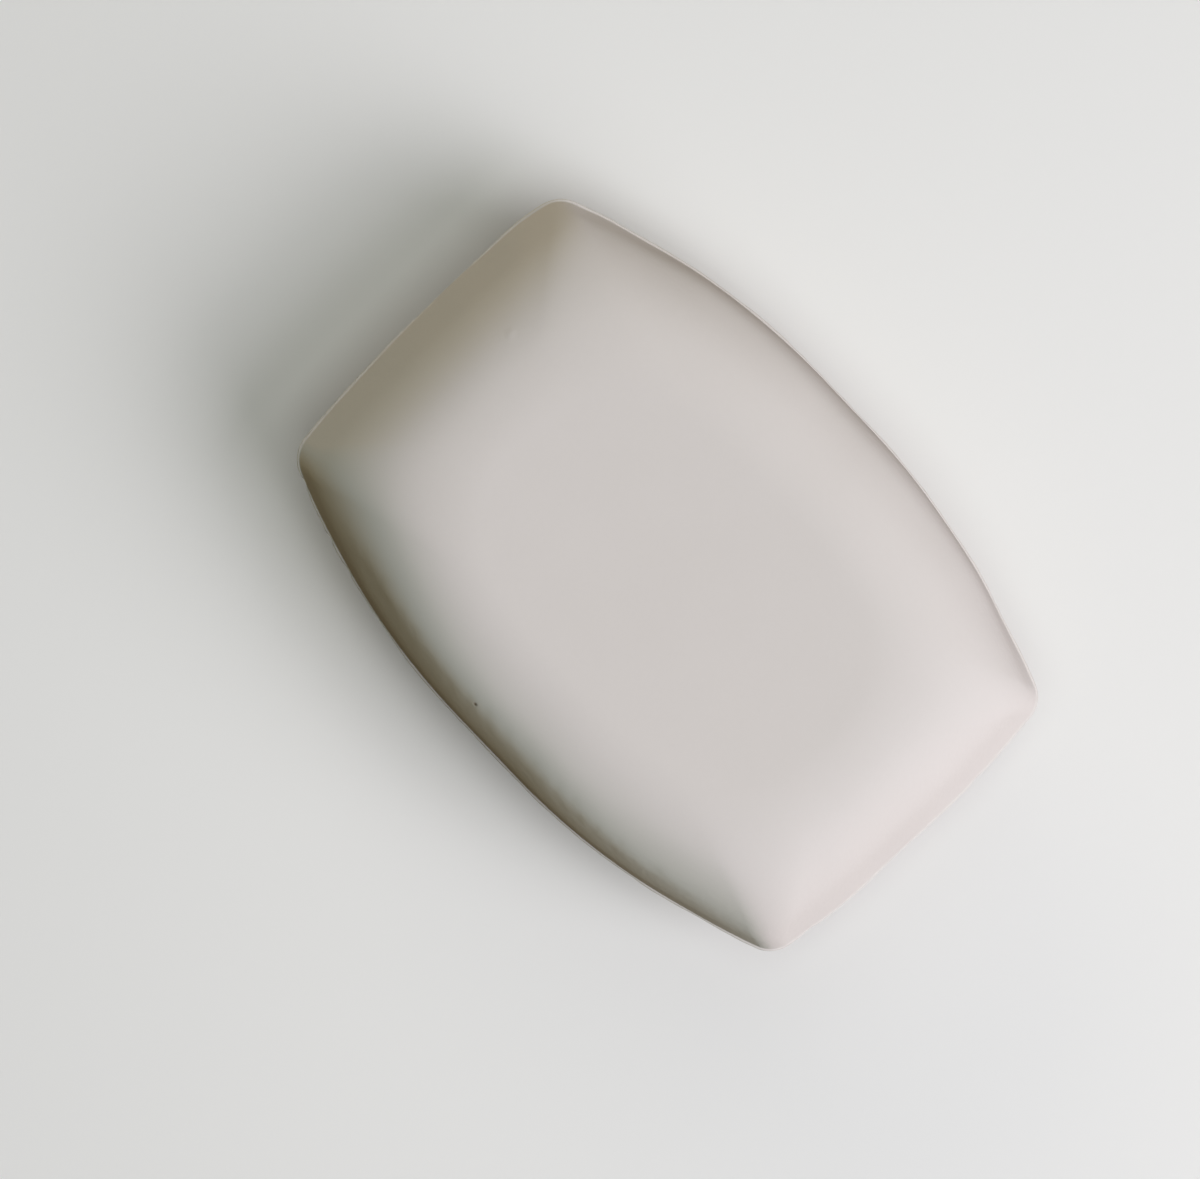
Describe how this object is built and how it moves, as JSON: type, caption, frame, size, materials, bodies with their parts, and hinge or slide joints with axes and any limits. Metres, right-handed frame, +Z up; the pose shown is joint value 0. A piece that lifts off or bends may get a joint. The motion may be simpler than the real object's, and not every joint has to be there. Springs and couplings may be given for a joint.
{
  "type": "bar of soap",
  "caption": "Pressed toilet soap bar with bowed sides and ends, steep drafted walls rounding into a flat face on each side, and a thin parting rim round the middle.",
  "frame": {"origin": "middle of the flat underside, on the surface that the bar rests on", "axes": "+X along the length, towards the end that faces the light in the picture; +Y across the width; +Z up through the thickness"},
  "size_m": [0.09, 0.0624, 0.028],
  "materials": {
    "soap": "satin"
  },
  "bodies": {
    "root": {"soap_bar": "soap"}
  },
  "joints": []
}
